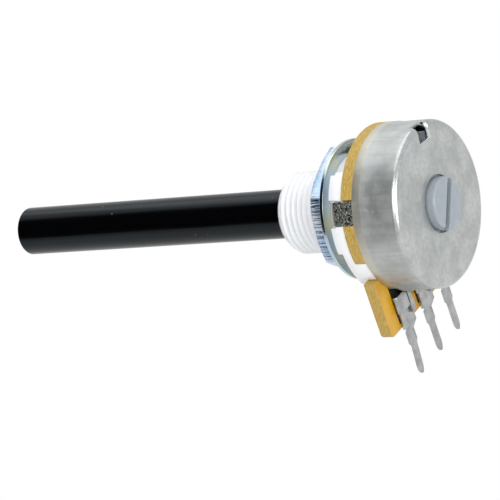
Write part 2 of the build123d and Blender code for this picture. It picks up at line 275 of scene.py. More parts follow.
# %% Sweep the cutter and cut the thread
bpy.ops.object.select_all(action="DESELECT")
bpy.ops.mesh.primitive_circle_add(vertices=3, radius=MM, fill_type="NOTHING")
cutter = bpy.context.object
cutter.name = "thread_cutter"
outer_radius = BUSH_RADIUS + 0.06
groove = [(BUSH_RADIUS - THREAD_DEPTH, 0), (outer_radius, -0.45 * PITCH), (outer_radius, 0.45 * PITCH)]
for vertex, (radius, y) in zip(cutter.data.vertices, groove):
    vertex.co = Vector((radius, BUSH_FRONT - PITCH + y, 0)) * MM
turns = round((-BUSH_FRONT - 0.6) / PITCH) + 1
apply_modifier(cutter, "SCREW", axis="Y", angle=tau, screw_offset=PITCH * MM, iterations=turns,
               steps=96, render_steps=96, use_smooth_shade=False)
open_piece(cutter)
bpy.ops.mesh.select_all(action="SELECT")
bpy.ops.mesh.fill_holes(sides=3)
bpy.ops.mesh.normals_make_consistent(inside=False)
close_piece()
apply_modifier(housing, "BOOLEAN", operation="DIFFERENCE", object=cutter, solver="EXACT")
bpy.data.objects.remove(cutter)
smooth(housing)
finish_piece(housing, "bush_housing", "case")
print(f"{turns} turns of thread at {PITCH} mm")

# %% [markdown]
# ## The nut
# A hexagon bar is cut to length, bored and chamfered on a lathe. We make the same two shapes, a
# six-sided prism and a turned ring with chamfered corners, and keep what is inside both.

# %% Make the nut
NUT_ACROSS_FLATS = 14.0
NUT_CORNER_ANGLE = 38.0
nut_corner = NUT_ACROSS_FLATS / 2 / cos(radians(30))
nut_middle = (NUT_FRONT + NUT_REAR) / 2

nut = turn("chamfered_nut", [
    (BUSH_RADIUS + 0.02, NUT_FRONT + 0.35),
    (BUSH_RADIUS + 0.37, NUT_FRONT),
    (7.15, NUT_FRONT),
    (nut_corner + 0.05, NUT_FRONT + 0.5),
    (nut_corner + 0.05, NUT_REAR - 0.25),
    (7.6, NUT_REAR),
    (BUSH_RADIUS + 0.02, NUT_REAR),
], closed=True)

bpy.ops.object.select_all(action="DESELECT")
bar_length = 1.5 * (NUT_REAR - NUT_FRONT)
bpy.ops.mesh.primitive_cylinder_add(vertices=6, radius=nut_corner * MM, depth=bar_length * MM)
hexagon = bpy.context.object
bpy.ops.object.mode_set(mode="EDIT")
bpy.ops.transform.rotate(value=radians(90), orient_axis="X", center_override=(0, 0, 0))
close_piece()
first = hexagon.data.vertices[0].co
lean = radians(NUT_CORNER_ANGLE) - atan2(first.z, first.x)
hexagon.data.transform(Matrix.Rotation(-lean, 4, "Y"))
hexagon.data.transform(Matrix.Translation((0, nut_middle * MM, 0)))
apply_modifier(nut, "BOOLEAN", operation="INTERSECT", object=hexagon, solver="EXACT")
bpy.data.objects.remove(hexagon)
apply_modifier(nut, "BEVEL", width=0.06 * MM, segments=2, limit_method="ANGLE", angle_limit=radians(25))
smooth(nut, 25)
finish_piece(nut, "hex_nut", "case")

# %% [markdown]
# ## The washer
# A punched washer has one rounded edge, where the punch went in, and one crisp edge with a small
# burr. A turned ring with two sizes of corner gives both.

# %% Make the washer
WASHER_FRONT, WASHER_REAR = reach("washer", Y)
WASHER_BORE = 5.15
washer = turn("punched_washer", [
    (WASHER_BORE, WASHER_FRONT),
    (WASHER_RADIUS, WASHER_FRONT),
    (WASHER_RADIUS, WASHER_REAR),
    (WASHER_BORE, WASHER_REAR),
], rounds=[(0, 0.08), (1, 0.12), (2, 0.06), (3, 0.05)], closed=True)
smooth(washer)
finish_piece(washer, "washer", "case")

# %% [markdown]
# ## The track board
# The board is punched from a sheet of paper laminate. Its faces are glazed resin and its edges are
# cut paper, so they take two finishes. The solid is right, so a copy gets a hair of rounding on
# its edges, and each face is given to one finish or the other by the way it points.

# %% Make the board
board = merged_copy("track_board", "laminate_board")
apply_modifier(board, "BEVEL", width=0.04 * MM, segments=1, limit_method="ANGLE", angle_limit=radians(40))
smooth(board, 30)
finish_piece(board, "track_board", "case")

# %% [markdown]
# ## The terminals
# Each terminal is a tinned strip: a wide head with an ear folded over from each side, a jog
# forwards, then a shank and a pin. We work as a press tool does, in sheet with no thickness: draw
# the blank by extruding its end edge, fold each ear by extruding and turning it in small steps,
# and give the sheet its thickness last, so that every fold gets an even bend.

# %% Fold helper
STRIP = 0.38
FOLD_STEPS = 4


def swing(angle, axis, centre):
    """Turn what is selected about a line through a point; positive is right-handed."""
    bpy.ops.transform.rotate(value=-radians(angle), orient_axis=axis, center_override=Vector(centre) * MM)


def fold(angle, axis, pivot):
    """Extrude the selected edges round a bend in small steps."""
    for step in range(FOLD_STEPS):
        draw_to((0, 0, 0))
        swing(angle / FOLD_STEPS, axis, pivot)


def squeeze(share, axis, centre):
    """Scale what is selected along one axis about a point."""
    scale = [1, 1, 1]
    scale[axis] = share
    bpy.ops.transform.resize(value=scale, center_override=Vector(centre) * MM)


print("folding in", FOLD_STEPS, "steps")

# %% [markdown]
# The three terminals come off one tool, so one function makes them. Only the first pin leans a
# little. The prong is the tongue that holds the terminal in its slot in the board.

# %% Make the terminals
HEAD_TOP = reach("terminal_1", Z)[1]
PIN_TIP = reach("terminal_1", Z)[0]
EAR_ENDS = (-10.6, -11.7)
HEAD_BOTTOM = -12.9
JOG_END = -14.1
SHANK_END = -15.6
HEAD_SPAN = (-0.8, 2.12)
SHANK_HALF = 0.8
PIN_HALF = 0.5
HEAD_Y = BOARD_REAR + 0.05 + STRIP / 2
PIN_Y = 4.5
SEAM_HALF = 0.1
EDGE_ROUND = 0.05


def make_terminal(name, pin_x, lean):
    """Draw the blank, fold its ears, and thicken it; the pin leans a little to one side."""
    low, high = (pin_x + x for x in HEAD_SPAN)
    strip = start_point(name, (low, HEAD_Y, HEAD_TOP))
    draw_to((high - low, 0, 0))
    last = HEAD_TOP
    bpy.ops.mesh.select_all(action="SELECT")
    for z in (*EAR_ENDS, HEAD_BOTTOM):
        draw_to((0, 0, z - last))
        last = z
    bpy.ops.mesh.select_all(action="SELECT")
    bpy.ops.mesh.bisect(plane_co=Vector((pin_x + SHANK_HALF, 0, 0)) * MM, plane_no=(1, 0, 0))
    edge_x = pin_x + SHANK_HALF
    choose(strip, "EDGE", lambda p: abs(p.z - HEAD_BOTTOM) < 0.01 and p.x < edge_x)
    draw_to((0, PIN_Y - HEAD_Y, JOG_END - HEAD_BOTTOM))
    draw_to((0, 0, SHANK_END - JOG_END))
    draw_to((0, 0, -0.4))
    squeeze(PIN_HALF / SHANK_HALF, X, (pin_x, 0, 0))
    draw_to((lean, 0, PIN_TIP + 1.05 - SHANK_END + 0.4))
    for drop, share in ((0.45, 0.88), (0.35, 0.66), (0.25, 0.35)):
        draw_to((lean * 0.1, 0, -drop))
        squeeze(share, X, (pin_x + lean, 0, 0))
    middle_y = HEAD_Y + STRIP / 2
    for side_x, ear_end, turn_angle, inner_x in (
        (low, EAR_ENDS[1], -180, pin_x - SEAM_HALF),
        (high, EAR_ENDS[0], 180, pin_x + SEAM_HALF),
    ):
        choose(strip, "EDGE", lambda p, x=side_x, z=ear_end: (
            abs(p.x - x) < 0.01 and abs(p.y - HEAD_Y) < 0.01 and z < p.z < HEAD_TOP))
        fold(turn_angle, "Z", (side_x, middle_y, 0))
        draw_to((inner_x - side_x, 0, 0))
    close_piece()
    apply_modifier(strip, "SOLIDIFY", thickness=STRIP * MM, offset=0)
    tidy_mesh(strip)
    apply_modifier(strip, "BEVEL", width=EDGE_ROUND * MM, segments=2, limit_method="ANGLE",
                   angle_limit=radians(50))
    smooth(strip, 40)
    return strip


def make_prong(pin_x):
    """Tongue that passes through the board and is bent down in front of it."""
    prong = start_point("prong", (pin_x - PIN_HALF, BOARD_REAR + 0.1, -10.2))
    draw_to((2 * PIN_HALF, 0, 0))
    bpy.ops.mesh.select_all(action="SELECT")
    draw_to((0, BOARD_FRONT - STRIP / 2 - BOARD_REAR - 0.1, 0))
    draw_to((0, 0, -1.1))
    close_piece()
    apply_modifier(prong, "SOLIDIFY", thickness=STRIP * MM, offset=0)
    tidy_mesh(prong)
    apply_modifier(prong, "BEVEL", width=EDGE_ROUND * MM, segments=2, limit_method="ANGLE",
                   angle_limit=radians(50))
    return prong


for number, (pin_x, lean) in enumerate(((5, 0.3), (0, 0.0), (-5, 0.0)), start=1):
    terminal = make_terminal(f"folded_terminal_{number}", pin_x, lean)
    prong = make_prong(pin_x)
    bpy.ops.object.select_all(action="DESELECT")
    prong.select_set(True)
    terminal.select_set(True)
    bpy.context.view_layer.objects.active = terminal
    bpy.ops.object.join()
    smooth(terminal, 40)
    finish_piece(terminal, f"terminal_{number}", "case")

# %% [markdown]
# ## The can
# The rear cover is drawn from tinned steel: a cup with a rounded shoulder and a slightly flared
# rim. We spin its outside skin, open the relief over the terminals, pull the two tabs out of the
# rim and turn them in over the housing, then lance the stop. The skin gets its thickness last.

# %% Draw the cup
WALL = 0.4
HOLE_RADIUS = 3.45
RELIEF_TOP = BOARD_REAR + 1.0
RELIEF_ANGLES = (-134, -46)
FLARE = 0.09

can = turn("drawn_can", [
    (HOLE_RADIUS, CAN_REAR - 0.05),
    (HOLE_RADIUS + 0.12, CAN_REAR),
    (5.0, CAN_REAR),
    (6.2, CAN_REAR),
    (7.2, CAN_REAR),
    (8.0, CAN_REAR),
    (8.7, CAN_REAR),
    (CAN_RADIUS, CAN_REAR),
    (CAN_RADIUS, 9.0),
    (CAN_RADIUS, 7.6),
    (CAN_RADIUS, RELIEF_TOP + 0.55),
    (CAN_RADIUS + FLARE, RELIEF_TOP + 0.1),
    (CAN_RADIUS + FLARE, RELIEF_TOP),
    (CAN_RADIUS + FLARE, BOARD_REAR),
], rounds=[(7, 0.75)], steps=360)
open_piece(can)
choose(can, "FACE", lambda p: p.y < RELIEF_TOP - 0.1 and RELIEF_ANGLES[0] < angle_of(p) < RELIEF_ANGLES[1])
bpy.ops.mesh.delete(type="FACE")
close_piece()
print("cup of", len(can.data.polygons), "faces")

# %% [markdown]
# Each tab is part of the same sheet: its edge is drawn forwards, then in small steps inwards. Each
# step is scaled towards the shaft axis, so the tab stays as curved as the rim it comes from.

# %% Pull out and turn in the tabs
TAB_ANGLES = (16, 32)
TAB_FRONT = reach("rear_cover", Y)[0]
TAB_BEND = 0.5
TAB_INNER = 8.9
rim_radius = CAN_RADIUS + FLARE
for side in (1, -1):
    open_piece(can)
    choose(can, "EDGE", lambda p, side=side: (
        abs(p.y - BOARD_REAR) < 0.01
        and TAB_ANGLES[0] < degrees(atan2(p.z, side * p.x)) < TAB_ANGLES[1]))
    draw_to((0, TAB_FRONT + TAB_BEND - BOARD_REAR, 0))
    radius, y = rim_radius, TAB_FRONT + TAB_BEND
    bend = [(rim_radius - TAB_BEND * (1 - cos(radians(a))), TAB_FRONT + TAB_BEND * (1 - sin(radians(a))))
            for a in (30, 60, 90)]
    for next_radius, next_y in (*bend, (TAB_INNER, TAB_FRONT)):
        draw_to((0, next_y - y, 0))
        share = next_radius / radius
        bpy.ops.transform.resize(value=(share, 1, share), center_override=(0, 0, 0))
        radius, y = next_radius, next_y
    close_piece()
print("tabs reach forward to", TAB_FRONT, "mm")

# %% [markdown]
# The stop is lanced: a punch breaks through the shoulder and rolls the metal inwards. We cut the
# window's outline into the skin with four bisecting planes, remove what lies inside it, sink the
# metal around it a little, and extrude the edge inwards in steps for the rolled lips. The bisect
# threshold is kept tiny, or the cut would snap to corners that happen to lie near the plane.

# %% Lance the stop
STOP_ANGLE = 99
STOP_HALF = 1.32
STOP_INNER = 7.85
STOP_FRONT = 9.95
TOOTH_Y = 9.2
TOOTH_HALF = 1.0
SINK = 0.12
outwards = Vector((cos(radians(STOP_ANGLE)), 0, sin(radians(STOP_ANGLE))))
across = Vector((-outwards.z, 0, outwards.x))
inwards = -(outwards + Vector((0, 1, 0))).normalized()
window_centre = outwards * 9.1 + Vector((0, 10.6, 0))


def near_stop(p, margin):
    """True within a margin of the window's outline."""
    return (abs(p.dot(across)) < STOP_HALF + margin and p.dot(outwards) > STOP_INNER - margin
            and p.y > STOP_FRONT - margin)


open_piece(can)
for place, normal in (
    (across * STOP_HALF, across),
    (-across * STOP_HALF, across),
    (outwards * STOP_INNER, outwards),
    (Vector((0, STOP_FRONT, 0)), Vector((0, 1, 0))),
):
    choose(can, "FACE", lambda p: near_stop(p, 1.0))
    bpy.ops.mesh.bisect(plane_co=place * MM, plane_no=normal, threshold=0.0005 * MM)
removed = choose(can, "FACE", lambda p: near_stop(p, -0.002))
bpy.ops.mesh.delete(type="FACE")
print("window cut from", removed, "faces")

# %% [markdown]
# The window's rim is an open boundary, so we hide the rest of the can and pick the boundary that
# is left. Then the middle of the inner lip is drawn deeper, as a tooth: inside the can it is what
# the rotor's lug runs against.

# %% Roll the lips in
choose(can, "FACE", lambda p: near_stop(p, 1.4))
bpy.ops.mesh.hide(unselected=True)
bpy.ops.mesh.select_mode(type="EDGE")
bpy.ops.mesh.select_non_manifold(extend=False, use_wire=False, use_boundary=True, use_multi_face=False,
                                 use_non_contiguous=False, use_verts=False)
bpy.ops.transform.translate(value=inwards * SINK * MM, use_proportional_edit=True,
                            proportional_edit_falloff="SMOOTH", proportional_size=0.9 * MM)
moved = window_centre + inwards * SINK
tooth = outwards * STOP_INNER + Vector((0, CAN_REAR, 0)) + inwards * SINK
for depth, share in ((0.06, 0.92), (0.12, 0.9), (0.34, 0.97)):
    draw_to(inwards * depth)
    bpy.ops.transform.resize(value=(share, share, share), center_override=moved * MM)
    tooth = moved + (tooth + inwards * depth - moved) * share
    moved = moved + inwards * depth
bpy.ops.mesh.reveal(select=False)
toothed = choose(can, "EDGE", lambda p: (
    abs(p.y - tooth.y) < 0.03 and abs(p.dot(across)) < TOOTH_HALF
    and abs(p.dot(outwards) - tooth.dot(outwards)) < 0.03))
draw_to((0, TOOTH_Y - tooth.y, 0))
close_piece()
print("tooth drawn from", toothed, "edges at", round(tooth.y, 2), "mm")

# %% [markdown]
# Solidify now grows the skin inwards to the sheet's thickness, so the outside keeps its size.

# %% Thicken the can
apply_modifier(can, "SOLIDIFY", thickness=WALL * MM, offset=-1)
tidy_mesh(can)
apply_modifier(can, "BEVEL", width=EDGE_ROUND * MM, segments=2, limit_method="ANGLE", angle_limit=radians(55))
smooth(can, 40)
finish_piece(can, "rear_cover", "case")

# %% [markdown]
# # Finishes
# Every finish is a small node graph. One function turns a hex colour as read on a screen into the
# linear values that the renderer works in, and one adds a node with its settings and links.
# Patterns read Object coordinates, which here are real metres, so a pattern's scale is worked out
# from a real size.

# %% Material helpers


def colour(code):
    """Linear colour from an sRGB hex code."""
    parts = [int(code[i:i + 2], 16) / 255 for i in (1, 3, 5)]
    return (*[c / 12.92 if c <= 0.04045 else ((c + 0.055) / 1.055) ** 2.4 for c in parts], 1)


def per(size):
    """Texture scale that gives features of a size in millimetres."""
    return 1 / (size * MM)


def add(material, kind, inputs=(), out=None, **settings):
    """Add a node with its settings, values and links; give it back, or one of its outputs."""
    tree = material.node_tree
    made = tree.nodes.new("ShaderNode" + kind)
    for name, value in settings.items():
        setattr(made, name, value)
    for socket, value in inputs:
        if isinstance(value, bpy.types.NodeSocket):
            tree.links.new(value, made.inputs[socket])
        else:
            made.inputs[socket].default_value = value
    return made if out is None else made.outputs[out]


def new_material(name):
    """A material with no nodes but the one that gives places on the piece."""
    material = bpy.data.materials.new(name)
    material.use_nodes = True
    material.node_tree.nodes.clear()
    return material, add(material, "TexCoord", out="Object")


def finish_material(material, shader):
    output = add(material, "OutputMaterial")
    material.node_tree.links.new(shader.outputs[0], output.inputs["Surface"])
    return material


print("white is", colour("#FFFFFF"), "mid grey is", [round(c, 3) for c in colour("#808080")])

# %% [markdown]
# ## Black shaft
# The shaft is moulded in black polyamide in a polished tool. It is deep black with a clear but
# slightly soft gloss, and it has a few specks of dust and faint lines along its length from the
# way it leaves the tool.

# %% Black moulded polyamide
black_nylon, place = new_material("moulded_black_polyamide")
along = add(black_nylon, "Mapping", [("Vector", place), ("Scale", (1, 0.04, 1))], out=0)
draw_lines = add(black_nylon, "TexNoise", [("Vector", along), ("Scale", per(0.5)), ("Detail", 3)], out=0)
ripple = add(black_nylon, "TexNoise", [("Vector", place), ("Scale", per(2.5)), ("Detail", 2)], out=0)
dust_cells = add(black_nylon, "TexVoronoi", [("Vector", place), ("Scale", per(2.2)), ("Randomness", 1)])
specks = add(black_nylon, "MapRange", enumerate((dust_cells.outputs["Distance"], 0.03, 0.055, 1, 0)), out=0)
rough = add(black_nylon, "MapRange", enumerate((draw_lines, 0.3, 0.7, 0.16, 0.24)), out=0)
rough = add(
    black_nylon, "Math",
    [(0, rough), (1, add(black_nylon, "Math", [(0, specks), (1, 0.4)], out=0, operation="MULTIPLY"))],
    out=0, operation="ADD",
)
relief = add(black_nylon, "Bump", [("Height", draw_lines), ("Distance", 0.004 * MM), ("Strength", 0.5)])
relief = add(
    black_nylon, "Bump", [("Height", ripple), ("Distance", 0.01 * MM), ("Normal", relief.outputs[0])],
)
tone = add(
    black_nylon, "Mix", [(0, specks), (6, colour("#030304")), (7, colour("#5C6066"))], out=2,
    data_type="RGBA",
)
shader = add(
    black_nylon, "BsdfPrincipled",
    [
        ("Base Color", tone), ("Roughness", rough), ("Specular IOR Level", 0.24),
        ("Specular Tint", (0.72, 0.9, 1.0, 1)), ("Normal", relief.outputs[0]),
    ],
)
finish_material(black_nylon, shader)
print("dust cells", 2.2, "mm apart")

# %% [markdown]
# ## White housing
# The housing is white PBT, a dense plastic that lets light in only a little. That softens the
# thread's shadows, so the turns read as faint grey lines. The surface is satin from the tool.

# %% White moulded PBT
white_pbt, place = new_material("moulded_white_pbt")
grain = add(white_pbt, "TexNoise", [("Vector", place), ("Scale", per(0.12)), ("Detail", 3)], out=0)
cloud = add(white_pbt, "TexNoise", [("Vector", place), ("Scale", per(3.0)), ("Detail", 2)], out=0)
relief = add(white_pbt, "Bump", [("Height", grain), ("Distance", 0.006 * MM), ("Strength", 0.6)])
tone = add(
    white_pbt, "Mix", [(0, cloud), (6, colour("#EFF1F4")), (7, colour("#F7F7F8"))], out=2,
    data_type="RGBA",
)
rough = add(white_pbt, "MapRange", enumerate((grain, 0.3, 0.7, 0.34, 0.46)), out=0)
shader = add(
    white_pbt, "BsdfPrincipled",
    [
        ("Base Color", tone), ("Roughness", rough), ("IOR", 1.52), ("Subsurface Weight", 0.25),
        ("Subsurface Radius", (1.0, 1.0, 1.0)), ("Subsurface Scale", 0.35 * MM),
        ("Normal", relief.outputs[0]),
    ],
)
finish_material(white_pbt, shader)
print("white housing ready")

# %% [markdown]
# ## Zinc plate on the nut and washer
# Both are steel with bright zinc under a thin clear chromate, which leaves a blue cast with
# yellow-green patches. The nut was cut from drawn bar: its flats carry fine ridges along the bar,
# parallel to the bore, so a flat breaks reflections into bars. Real ridges are finer than can show
# here, so they are drawn 0.3 mm apart. The flats' low patches are a deeper blue than the turned
# faces: partly the chromate's own cast, partly a painted reflection of the dark blue they mirror.
# The washer is rolled sheet and stays smooth.

# %% Zinc plate
RIDGE = 0.3


def zinc_plate(name, ridge_height, tint_low, tint_high):
    """Zinc plate with ridges along the bore of a given height in millimetres, and two tints."""
    material, place = new_material(name)
    around = add(material, "Mapping", [("Vector", place), ("Scale", (1, 0.06, 1))], out=0)
    ridges = add(
        material, "TexNoise",
        [("Vector", around), ("Scale", per(RIDGE)), ("Detail", 2.5), ("Roughness", 0.6)], out=0,
    )
    ridges = add(material, "MapRange", enumerate((ridges, 0.38, 0.62, 0, 1)), out=0)
    patches = add(material, "TexNoise", [("Vector", place), ("Scale", per(3.5)), ("Detail", 3)], out=0)
    pits = add(material, "TexNoise", [("Vector", place), ("Scale", per(0.1)), ("Detail", 2)], out=0)
    tint = add(
        material, "Mix",
        [
            (0, add(material, "MapRange", enumerate((patches, 0.42, 0.62, 0, 1)), out=0)),
            (6, colour(tint_low)), (7, colour(tint_high)),
        ],
        out=2, data_type="RGBA",
    )
    relief = add(material, "Bump", [("Height", ridges), ("Distance", ridge_height * MM), ("Strength", 1.0)])
    relief = add(
        material, "Bump", [("Height", pits), ("Distance", 0.004 * MM), ("Normal", relief.outputs[0])],
    )
    rough = add(material, "MapRange", enumerate((pits, 0.3, 0.7, 0.14, 0.26)), out=0)
    shader = add(
        material, "BsdfPrincipled",
        [("Base Color", tint), ("Metallic", 1.0), ("Roughness", rough), ("Normal", relief.outputs[0])],
    )
    return finish_material(material, shader)


# The flats' deeper blue low tint is partly the chromate's cast, partly a painted reflection of dark blue.
zinc_drawn_with_painted_blue = zinc_plate("zinc_plate_on_drawn_bar_with_painted_blue", 0.016, "#A3BBDA", "#DCE2EC")
zinc_turned = zinc_plate("zinc_plate_on_turned_face", 0.0, "#D3D8E4", "#E4E6EC")
zinc_rolled = zinc_plate("zinc_plate_on_rolled_sheet", 0.0, "#B4C6D2", "#C9CDB8")
print("ridges", RIDGE, "mm apart")

# %% [markdown]
# ## Laminate board
# Paper laminate is amber resin over sheets of paper. The face is smooth and glassy orange-yellow,
# with a slow cloud of darker resin. The edge is sheared: it is duller, and shows the sheets as
# lines round the board, drawn a little coarser than real sheets so that they show.

# %% Board face and board edge
laminate_face, place = new_material("phenolic_paper_laminate_face")
cloud = add(laminate_face, "TexNoise", [("Vector", place), ("Scale", per(4.0)), ("Detail", 4)], out=0)
weave = add(laminate_face, "TexNoise", [("Vector", place), ("Scale", per(0.15)), ("Detail", 2)], out=0)
relief = add(laminate_face, "Bump", [("Height", weave), ("Distance", 0.005 * MM), ("Strength", 0.5)])
tone = add(
    laminate_face, "Mix",
    [
        (0, add(laminate_face, "MapRange", enumerate((cloud, 0.35, 0.65, 0, 1)), out=0)),
        (6, colour("#B98808")), (7, colour("#CC9A14")),
    ],
    out=2, data_type="RGBA",
)
shader = add(
    laminate_face, "BsdfPrincipled",
    [("Base Color", tone), ("Roughness", 0.32), ("IOR", 1.55), ("Normal", relief.outputs[0])],
)
finish_material(laminate_face, shader)

laminate_edge, place = new_material("phenolic_paper_laminate_sheared_edge")
SHEET = 0.18
squash = add(laminate_edge, "Mapping", [("Vector", place), ("Scale", (0.3, 1, 0.3))], out=0)
sheets = add(laminate_edge, "TexNoise", [("Vector", squash), ("Scale", per(SHEET)), ("Detail", 3)], out=0)
fibres = add(laminate_edge, "TexNoise", [("Vector", place), ("Scale", per(0.12)), ("Detail", 3)], out=0)
tan = add(
    laminate_edge, "Mix",
    [
        (0, add(laminate_edge, "MapRange", enumerate((sheets, 0.36, 0.64, 0, 1)), out=0)),
        (6, colour("#AE8B3C")), (7, colour("#C6A95A")),
    ],
    out=2, data_type="RGBA",
)
relief = add(laminate_edge, "Bump", [("Height", sheets), ("Distance", 0.03 * MM), ("Strength", 0.7)])
relief = add(
    laminate_edge, "Bump", [("Height", fibres), ("Distance", 0.015 * MM), ("Normal", relief.outputs[0])],
)
shader = add(
    laminate_edge, "BsdfPrincipled",
    [("Base Color", tan), ("Roughness", 0.62), ("IOR", 1.5), ("Normal", relief.outputs[0])],
)
finish_material(laminate_edge, shader)
print("laminate sheets", SHEET, "mm thick")

# %% [markdown]
# ## Printed tracks
# The resistive track is screen-printed carbon ink, and the inner ring is a conductive ink with
# more metal in it. Both are matt black with a fine tooth.

# %% Carbon ink


def printed_ink(name, shade, roughness):
    """Screen-printed ink: matt, with a fine tooth from the mesh."""
    material, place = new_material(name)
    tooth = add(material, "TexNoise", [("Vector", place), ("Scale", per(0.08)), ("Detail", 2)], out=0)
    relief = add(material, "Bump", [("Height", tooth), ("Distance", 0.006 * MM), ("Strength", 0.6)])
    shader = add(
        material, "BsdfPrincipled",
        [
            ("Base Color", colour(shade)), ("Roughness", roughness), ("IOR", 1.45),
            ("Normal", relief.outputs[0]),
        ],
    )
    return finish_material(material, shader)


carbon_ink = printed_ink("screen_printed_carbon_ink", "#0B0B0C", 0.7)
ring_ink = printed_ink("screen_printed_conductive_ink", "#121213", 0.5)
print("inks ready")

# %% [markdown]
# ## Tinned strip and tinned can
# Tin plate is a soft, slightly warm grey that scatters light widely. On the terminals it has run
# a little, so it is blotched. On the can it was flowed and then drawn: a low cloud of light and
# dark, faint lines along the draw on the side, tiny dark pits, and hair scratches from handling
# on the rear. The die leaves the shoulder brighter, and the punch has burnished the lips of the
# stop. A band round the flared rim is painted lighter and creamier, as a painted highlight. The
# outer face of each tab is crazed where the press tool gripped it.

# %% Tinned strip
tinned_strip, place = new_material("hot_tinned_brass_strip")
blotch = add(tinned_strip, "TexNoise", [("Vector", place), ("Scale", per(1.1)), ("Detail", 3)], out=0)
fine = add(tinned_strip, "TexNoise", [("Vector", place), ("Scale", per(0.1)), ("Detail", 2)], out=0)
relief = add(tinned_strip, "Bump", [("Height", blotch), ("Distance", 0.01 * MM), ("Strength", 0.3)])
relief = add(
    tinned_strip, "Bump", [("Height", fine), ("Distance", 0.006 * MM), ("Normal", relief.outputs[0])],
)
tone = add(
    tinned_strip, "Mix",
    [
        (0, add(tinned_strip, "MapRange", enumerate((blotch, 0.35, 0.65, 0, 1)), out=0)),
        (6, colour("#9B9E9D")), (7, colour("#B6B8B7")),
    ],
    out=2, data_type="RGBA",
)
rough = add(tinned_strip, "MapRange", enumerate((blotch, 0.3, 0.7, 0.24, 0.36)), out=0)
shader = add(
    tinned_strip, "BsdfPrincipled",
    [("Base Color", tone), ("Metallic", 1.0), ("Roughness", rough), ("Normal", relief.outputs[0])],
)
finish_material(tinned_strip, shader)
print("tinned strip ready")

# %% Tinned can
tinned_can, place = new_material("flowed_tin_on_drawn_steel")
cloud = add(
    tinned_can, "TexNoise", [("Vector", place), ("Scale", per(2.6)), ("Detail", 5), ("Roughness", 0.6)],
    out=0,
)
along = add(tinned_can, "Mapping", [("Vector", place), ("Scale", (1, 0.08, 1))], out=0)
draw_marks = add(tinned_can, "TexNoise", [("Vector", along), ("Scale", per(0.5)), ("Detail", 4)], out=0)
fine = add(tinned_can, "TexNoise", [("Vector", place), ("Scale", per(0.13)), ("Detail", 2)], out=0)
pit_cells = add(tinned_can, "TexVoronoi", [("Vector", place), ("Scale", per(6))], out="Distance")
pits = add(tinned_can, "MapRange", enumerate((pit_cells, 0.014, 0.026, 1, 0)), out=0)
shade = add(
    tinned_can, "Mix",
    [
        (0, add(tinned_can, "MapRange", enumerate((cloud, 0.38, 0.62, 0, 1)), out=0)),
        (6, colour("#B4B7B5")), (7, colour("#C8CAC9")),
    ],
    out=2, data_type="RGBA",
)
shade = add(
    tinned_can, "Mix",
    [
        (0, add(tinned_can, "MapRange", enumerate((draw_marks, 0.42, 0.7, 0, 0.3)), out=0)), (6, shade),
        (7, colour("#9A9D9C")),
    ],
    out=2, data_type="RGBA",
)
shade = add(tinned_can, "Mix", [(0, pits), (6, shade), (7, colour("#77797A"))], out=2, data_type="RGBA")
depth = add(tinned_can, "SeparateXYZ", [("Vector", place)], out="Y")
# Painted highlight: a band round the flared rim is mixed towards a light cream.
rim_painted_highlight = add(
    tinned_can, "MapRange", enumerate((depth, (BOARD_REAR + 0.9) * MM, (BOARD_REAR + 1.3) * MM, 0.55, 0)),
    out=0,
)
shade = add(tinned_can, "Mix", [(0, rim_painted_highlight), (6, shade), (7, colour("#D9D3BE"))], out=2, data_type="RGBA")
flat = add(tinned_can, "VectorMath", [(0, place), (1, (1, 0, 1))], out=0, operation="MULTIPLY")
radius = add(tinned_can, "VectorMath", [(0, flat)], out="Value", operation="LENGTH")
outer = add(
    tinned_can, "MapRange", enumerate((radius, (CAN_RADIUS - 0.8) * MM, (CAN_RADIUS - 0.5) * MM, 0, 1)),
    out=0,
)
rear = add(
    tinned_can, "MapRange", enumerate((depth, (CAN_REAR - 0.8) * MM, (CAN_REAR - 0.5) * MM, 0, 0.3)),
    out=0,
)
polish = add(tinned_can, "Math", [(0, outer), (1, rear)], out=0, operation="MULTIPLY")
rough = add(tinned_can, "MapRange", enumerate((cloud, 0.3, 0.7, 0.5, 0.6)), out=0)
rough = add(tinned_can, "Math", [(0, rough), (1, polish)], out=0, operation="SUBTRACT")
hair = add(
    tinned_can, "Mapping", [("Vector", place), ("Rotation", (0, 0.7, 0)), ("Scale", (0.05, 1, 1))], out=0,
)
scratches = add(tinned_can, "TexNoise", [("Vector", hair), ("Scale", per(0.35)), ("Detail", 2)], out=0)
scratches = add(tinned_can, "MapRange", enumerate((scratches, 0.68, 0.74, 0, 1)), out=0)
relief = add(tinned_can, "Bump", [("Height", cloud), ("Distance", 0.05 * MM), ("Strength", 0.35)])
relief = add(
    tinned_can, "Bump", [("Height", scratches), ("Distance", 0.02 * MM), ("Normal", relief.outputs[0])],
    invert=True,
)
relief = add(
    tinned_can, "Bump", [("Height", fine), ("Distance", 0.008 * MM), ("Normal", relief.outputs[0])],
)
shader = add(
    tinned_can, "BsdfPrincipled",
    [("Base Color", shade), ("Metallic", 1.0), ("Roughness", rough), ("Normal", relief.outputs[0])],
)
finish_material(tinned_can, shader)
print("pits about 6 mm apart")

# %% Burnished lips
burnished_tin, place = new_material("tin_burnished_by_the_punch")
dull = add(burnished_tin, "TexNoise", [("Vector", place), ("Scale", per(0.4)), ("Detail", 3)], out=0)
tone = add(
    burnished_tin, "Mix", [(0, dull), (6, colour("#B9BCBA")), (7, colour("#D2D4D2"))], out=2,
    data_type="RGBA",
)
rough = add(burnished_tin, "MapRange", enumerate((dull, 0.3, 0.7, 0.14, 0.28)), out=0)
shader = add(
    burnished_tin, "BsdfPrincipled", [("Base Color", tone), ("Metallic", 1.0), ("Roughness", rough)],
)
finish_material(burnished_tin, shader)
print("lips are burnished")

